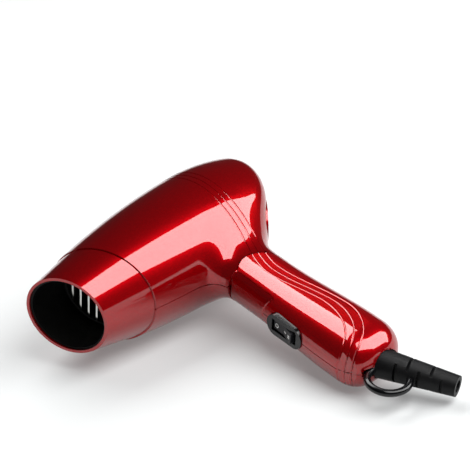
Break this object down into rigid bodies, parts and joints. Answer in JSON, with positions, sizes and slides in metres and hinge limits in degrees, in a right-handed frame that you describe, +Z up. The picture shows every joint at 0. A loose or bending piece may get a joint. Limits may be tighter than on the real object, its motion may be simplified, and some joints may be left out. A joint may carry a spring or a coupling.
{
  "type": "folding hair dryer",
  "caption": "Compact hair dryer with a red clear-coated barrel, a push-on nozzle, a folding handle, a rocker switch and a hanging loop.",
  "frame": {"origin": "centre of the bounding box, on the surface the dryer lies on", "axes": "+X is the way the air leaves, +Y runs to the end of the handle, +Z is up with the dryer lying on its side"},
  "size_m": [0.1682, 0.2348, 0.075],
  "materials": {
    "red_shell": "candy red, clear coated",
    "black_gloss": "polished",
    "black_matte": "fine texture",
    "dark_grey": "satin",
    "grille_grey": "satin",
    "mica": "pressed mica sheet",
    "wire": "heater wire",
    "steel": "turned",
    "brass": "stamped",
    "ceramic": "fired",
    "board": "solder mask",
    "cap_orange": "dipped",
    "mesh": "woven",
    "white_mark": "printed",
    "rubber": "moulded",
    "lead_blue": "wire insulation",
    "lead_white": "wire insulation"
  },
  "bodies": {
    "barrel": {"barrel_upper": "red_shell", "barrel_lower": "red_shell", "rear_grille": "black_matte", "lint_screen": "mesh", "front_grille": "grille_grey", "mica_tube": "mica", "heater_boards": "mica", "heater_wire": "wire", "thermostat": "steel", "thermal_fuse": "ceramic", "fan_duct": "dark_grey", "motor_can": "steel", "motor_board": "board", "capacitor": "cap_orange", "pivot_pin": "steel", "detent_spring": "steel", "detent_ball": "steel", "barrel_screws": "steel", "barrel_leads": "lead_white"},
    "fan": {"fan_impeller": "dark_grey", "motor_shaft": "steel"},
    "nozzle": {"nozzle_shell": "red_shell", "nozzle_liner": "black_matte"},
    "handle": {"handle_upper": "red_shell", "handle_lower": "red_shell", "switch_frame": "black_gloss", "switch_body": "dark_grey", "switch_tabs": "brass", "rocker_axle": "steel", "hanging_loop": "black_gloss", "strain_relief": "rubber", "cord_clamp": "black_matte", "handle_screws": "steel", "handle_leads": "lead_blue"},
    "rocker": {"rocker": "dark_grey", "rocker_marks": "white_mark"}
  },
  "joints": [
    {"name": "handle_fold", "type": "hinge", "parent": "barrel", "child": "handle", "pos_m": [-0.01821, -0.01395, 0.0375], "axis": [0, 0, -1], "range_deg": [0, 80]},
    {"name": "nozzle_pull", "type": "slide", "parent": "barrel", "child": "nozzle", "axis": [1, 0, 0], "range_m": [0, 0.03]},
    {"name": "fan_spin", "type": "hinge", "parent": "barrel", "child": "fan", "pos_m": [-0.03121, -0.07995, 0.0375], "axis": [1, 0, 0], "continuous": true},
    {"name": "rocker_tilt", "type": "hinge", "parent": "handle", "child": "rocker", "pos_m": [0.00006, 0.01776, 0.0375], "axis": [0, 0, 1], "range_deg": [0, 20]}
  ]
}
